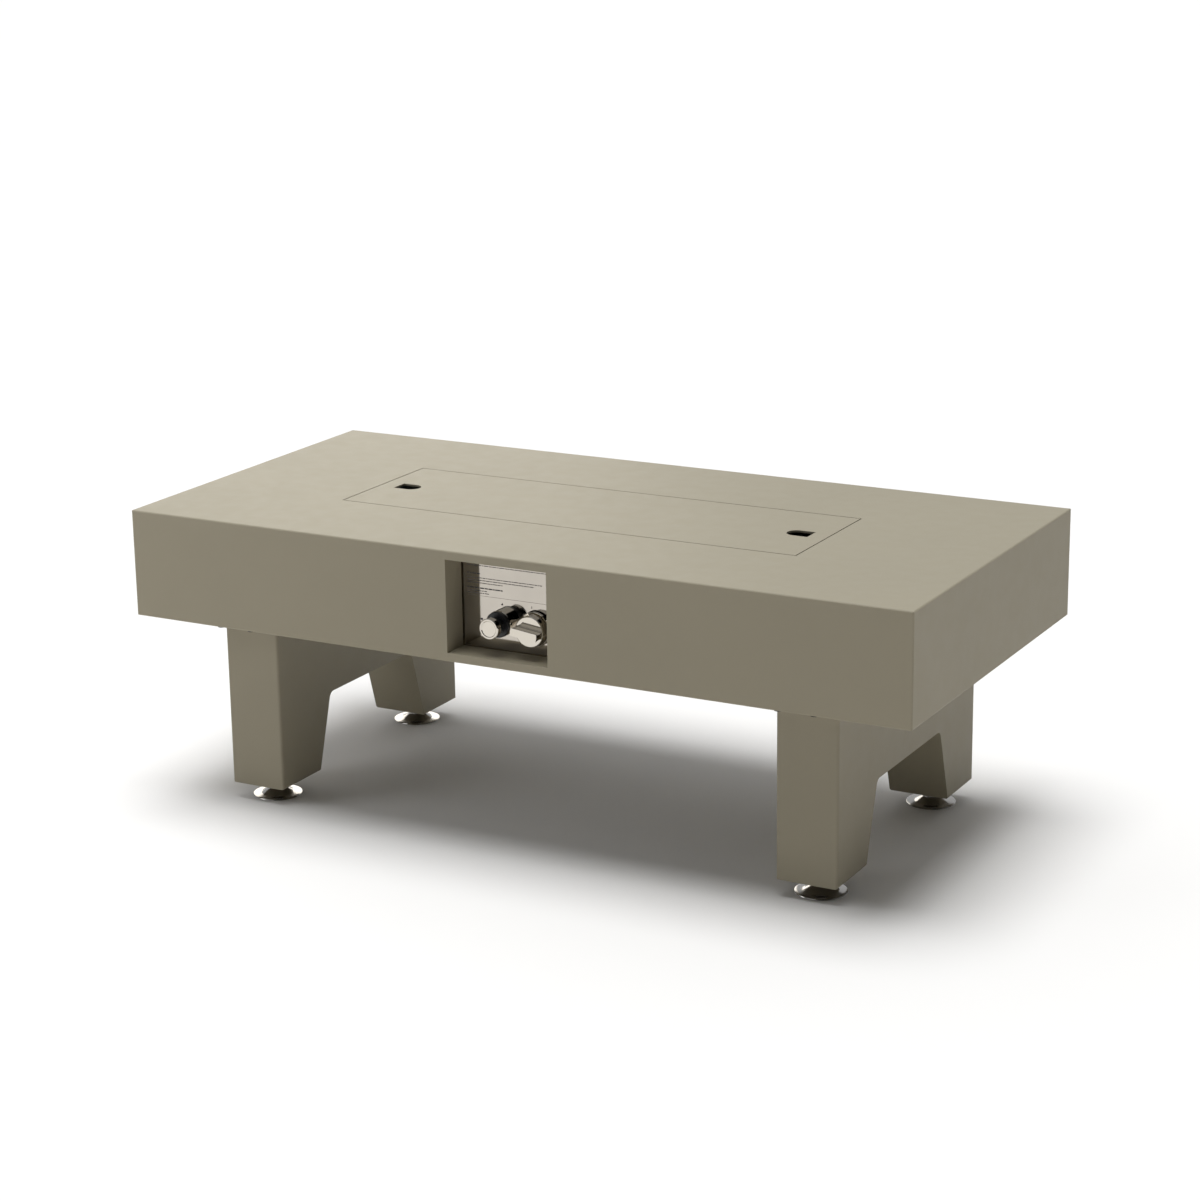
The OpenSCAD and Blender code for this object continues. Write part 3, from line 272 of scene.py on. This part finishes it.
# Finish of each material slot. A metal's two numbers are its lowest and highest roughness.
finishes = {
    "powder_coat": coat_finish("powder_coat", COAT),
    "inner_coat": coat_finish("inner_coat", INNER_COAT),
    "mirror_steel": metal_finish("mirror_steel", MIRROR_STEEL, 0.05, 0.09),
    "stainless": metal_finish("stainless", MILL_STEEL, 0.26, 0.42, stretch=(0.02, 1, 1), grain=900.0,
                              depth=0.00003),
    "zinc": metal_finish("zinc", ZINC, 0.28, 0.42, shade=0.08),
    "chrome": metal_finish("chrome", CHROME, 0.03, 0.07, shade=0.01),
    "brass": metal_finish("brass", BRASS, 0.22, 0.34, shade=0.06),
    "cast_aluminium": metal_finish("cast_aluminium", CAST, 0.48, 0.62, depth=0.0002, shade=0.06),
    "black_plastic": plain_finish("black_plastic", BLACK, 0.32),
    "rubber": plain_finish("rubber", BLACK, 0.75),
    "ceramic": plain_finish("ceramic", CERAMIC, 0.20),
    "copper": metal_finish("copper", COPPER, 0.25, 0.38, shade=0.08),
    "hose_braid": braid_finish("hose_braid", HOSE_GREY, BRAID_PITCH * MM),
    "red_lead": plain_finish("red_lead", RED_RUBBER, 0.45),
}
ink = plain_finish("ink", INK, 0.5)
pale_ink = plain_finish("pale_ink", PALE_INK, 0.5)
stud_thread = thread_finish("stud_thread", ZINC, STUD_PITCH * MM)
pipe_thread = thread_finish("pipe_thread", BRASS, PIPE_PITCH * MM)
black_zinc = metal_finish("black_zinc", BLACK_ZINC, 0.35, 0.5, shade=0.08)
# Black finish for the lid ledge: painted shade, so that the gap round the lid reads as a dark line
gap_shade_paint = plain_finish("gap_shade_paint", BLACK, 0.6)
dull_chrome = metal_finish("dull_chrome", DULL_CHROME, 0.14, 0.20, shade=0.02)

# Nodes that differ from their slot's finish. The lid ledge's black is painted shade, standing in for the
# shadow in the gap round the lid.
own_finish = {"burner_nipple": pipe_thread, "rail_screws": black_zinc, "lid_ledge": gap_shade_paint}
for corner in CORNERS:
    own_finish[corner + "_stud"] = stud_thread


def shade_smooth(mesh):
    """Smooth shading with an edge left sharp where it turns more than SHARP_ANGLE."""
    mesh.polygons.foreach_set("use_smooth", [True] * len(mesh.polygons))
    mesh.set_sharp_from_angle(angle=math.radians(SHARP_ANGLE))


for part in frame["record"]["subparts"]:
    solid = nodes[part["node"]]
    solid.data.materials.clear()
    solid.data.materials.append(own_finish.get(part["node"], finishes[part["material_slot"]]))
    shade_smooth(solid.data)


def mesh_piece(name, points, faces, material, body):
    """A mesh from points in metres that rides on a body."""
    mesh = bpy.data.meshes.new(name)
    mesh.from_pydata(points, [], faces)
    mesh.materials.append(material)
    piece = bpy.data.objects.new(name, mesh)
    scene.collection.objects.link(piece)
    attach(piece, body)
    return piece


def rectangle(left, low, right, high):
    """Corners of a rectangle in X and Z."""
    return [(left, low), (right, low), (right, high), (left, high)]


def placed(corners, x, z):
    """Corners in millimetres from a point in X and Z, turned into metres."""
    return [(x + across * MM, z + up * MM) for across, up in corners]


def dashes(left, right, z, high, step):
    """A row of dashes of uneven length, all in metres, that starts at the given step of DASHES."""
    marks = []
    while left < right - LEAST_DASH * MM:
        end = left + DASHES[step % len(DASHES)] * MM
        marks.append(rectangle(left, z - high / 2, min(end, right), z + high / 2))
        left = end + DASH_GAP * MM
        step += 1
    return marks


def flat_marks(name, outlines, face_y, material):
    """Thin raised marks on the control plate, from outlines in X and Z, in front of face_y."""
    points, faces = [], []
    for outline in outlines:
        first, count = len(points), len(outline)
        points += [(x, face_y, z) for x, z in outline]
        points += [(x, face_y - MARK_THICK * MM, z) for x, z in outline]
        faces.append([first + count + k for k in range(count)])
        faces += [
            [first + k, first + (k + 1) % count, first + count + (k + 1) % count, first + count + k]
            for k in range(count)
        ]
    mesh_piece(name, points, faces, material, "table")


def plate_prints():
    """Ruled lines and small signs on the control plate, with no words."""
    plate_low, plate_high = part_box("control_plate")
    cap_low, cap_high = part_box("button_cap")
    knob_low, knob_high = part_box("gas_knob")
    middle = (plate_low.z + plate_high.z) / 2
    button_x, button_z = (cap_low.x + cap_high.x) / 2, (cap_low.z + cap_high.z) / 2
    knob_x, knob_z = (knob_low.x + knob_high.x) / 2, (knob_low.z + knob_high.z) / 2
    thin, bold = [], []
    for row, (up, right, strong) in enumerate(PRINT_ROWS):
        high = BOLD_HIGH if strong else THIN_HIGH
        marks = dashes(PRINT_LEFT * MM, right * MM, middle + up * MM, high * MM, ROW_SHIFT * row)
        (bold if strong else thin).extend(marks)
    thin.append(placed(rectangle(*RULE), 0.0, middle))
    thin.append(placed(rectangle(*SIDE_MARK), 0.0, 0.0))
    thin.append(placed(rectangle(*KNOB_TICK), knob_x, knob_z))
    bold.append(placed(SPARK, button_x, button_z))
    face_y = plate_low.y + MARK_SUNK * MM
    flat_marks("plate_lines", thin, face_y, pale_ink)
    flat_marks("plate_signs", bold, face_y, ink)


plate_prints()


def turned_foot(corner):
    """Foot with a nearly flat ring and a steeper middle, turned inside its solid's box."""
    low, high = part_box(corner + "_foot")
    centre = (low + high) / 2
    radius, height = (high.x - low.x) / 2, high.z - low.z
    points, rings = [], []
    for out, up in FOOT_OUTLINE_SHARES:
        count = FOOT_STEPS if out else 1
        rings.append([len(points) + k for k in range(count)])
        for k in range(count):
            angle = 2 * math.pi * k / FOOT_STEPS
            x = centre.x + out * radius * math.cos(angle)
            y = centre.y + out * radius * math.sin(angle)
            points.append((x, y, low.z + up * height))
    faces = []
    for lower, upper in zip(rings, rings[1:]):
        for k in range(FOOT_STEPS):
            corners = [lower[k % len(lower)], lower[(k + 1) % len(lower)],
                       upper[(k + 1) % len(upper)], upper[k % len(upper)]]
            faces.append(list(dict.fromkeys(corners)))
    piece = mesh_piece(corner + "_turned_foot", points, faces, dull_chrome,
                       corner + "_levelling_foot")
    shade_smooth(piece.data)
    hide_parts(corner + "_foot")


for corner in CORNERS:
    turned_foot(corner)


def pushed_springs():
    """Copies of the springs that the record's joints name, each riding on its body in place of its solid.
    """
    record = frame["record"]
    body_of = {node: body for body, held in record["behaviour"]["bodies"].items() for node in held}
    for joint in record["behaviour"]["joints"]:
        for soft in joint.get("deforming_nodes", []):
            node, fixed_y = soft["node"], soft["fixed_end_y_m"]
            spring = bpy.data.objects.new(node + "_coil", nodes[node].data.copy())
            scene.collection.objects.link(spring)
            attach(spring, body_of[node])
            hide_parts(node)
            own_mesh(spring)


pushed_springs()


def studio_floor():
    """Pale matt floor that the feet stand on."""
    half = FLOOR_SIZE / 2
    corners = [(-half, -half, 0), (half, -half, 0), (half, half, 0), (-half, half, 0)]
    mesh = bpy.data.meshes.new("floor")
    mesh.from_pydata(corners, [], [(0, 1, 2, 3)])
    mesh.materials.append(Finish("floor", FLOOR_COLOUR, roughness=0.9, specular=0.1).material)
    floor = bpy.data.objects.new("floor", mesh)
    scene.collection.objects.link(floor)


def studio_world():
    """The two glows of the world light.

    Seen directly it is white, so that the horizon of a low view stays plain.
    """
    world = bpy.data.worlds.new("studio")
    world.use_nodes = True
    tree = world.node_tree
    place = tree.nodes.new("ShaderNodeTexCoord")
    total = tree.nodes.new("ShaderNodeMath")
    for index, (side, begin, full, strength) in enumerate(WORLD_GLOWS):
        along = tree.nodes.new("ShaderNodeVectorMath")
        along.operation = "DOT_PRODUCT"
        tree.links.new(place.outputs["Generated"], along.inputs[0])
        along.inputs[1].default_value = side
        ramp = tree.nodes.new("ShaderNodeMapRange")
        ramp.interpolation_type = "SMOOTHSTEP"
        tree.links.new(along.outputs["Value"], ramp.inputs["Value"])
        for socket, value in (("From Min", begin), ("From Max", full), ("To Max", strength)):
            ramp.inputs[socket].default_value = value
        tree.links.new(ramp.outputs["Result"], total.inputs[index])
    seen = tree.nodes.new("ShaderNodeMath")
    seen.operation = "MAXIMUM"
    tree.links.new(total.outputs["Value"], seen.inputs[0])
    tree.links.new(tree.nodes.new("ShaderNodeLightPath").outputs["Is Camera Ray"], seen.inputs[1])
    tree.links.new(seen.outputs["Value"], tree.nodes["Background"].inputs["Strength"])
    tree.nodes["Background"].inputs["Color"].default_value = (*COOL, 1.0)
    scene.world = world


def overhead_sun():
    """A sun spread over SUN_SPREAD degrees, for soft light from above."""
    data = bpy.data.lights.new("overhead", "SUN")
    data.energy = SUN_STRENGTH
    data.color = COOL
    data.angle = math.radians(SUN_SPREAD)
    sun = bpy.data.objects.new("overhead", data)
    sun.rotation_euler = (math.radians(SUN_TILT[0]), math.radians(SUN_TILT[1]), 0)
    scene.collection.objects.link(sun)


def soft_box(name, place, target, size, power, colour, seen_by_matt):
    """A square light that faces target and isn't seen by the camera."""
    data = bpy.data.lights.new(name, "AREA")
    data.size = size
    data.energy = power
    data.color = colour
    lamp = bpy.data.objects.new(name, data)
    lamp.location = place
    lamp.rotation_euler = (Vector(target) - Vector(place)).to_track_quat("-Z", "Y").to_euler()
    lamp.visible_camera = False
    lamp.visible_diffuse = seen_by_matt
    scene.collection.objects.link(lamp)


def camera():
    """The camera, which sees the table as the photograph does."""
    data = bpy.data.cameras.new("camera")
    data.lens = CAMERA_LENS
    data.sensor_width = CAMERA_SENSOR
    data.clip_end = 2 * FLOOR_SIZE
    made = bpy.data.objects.new("camera", data)
    turn = Matrix.Rotation(math.radians(CAMERA_YAW), 4, "Z")
    tilt = Matrix.Rotation(math.radians(90 - CAMERA_DOWN), 4, "X")
    roll = Matrix.Rotation(math.radians(CAMERA_ROLL), 4, "Z")
    made.matrix_world = Matrix.Translation(CAMERA_PLACE) @ turn @ tilt @ roll
    scene.collection.objects.link(made)
    scene.camera = made


studio_floor()
studio_world()
overhead_sun()
for name, settings in SOFT_BOXES.items():
    soft_box(name, *settings)
camera()
scene.view_settings.view_transform = "Standard"
scene.view_settings.look = "None"
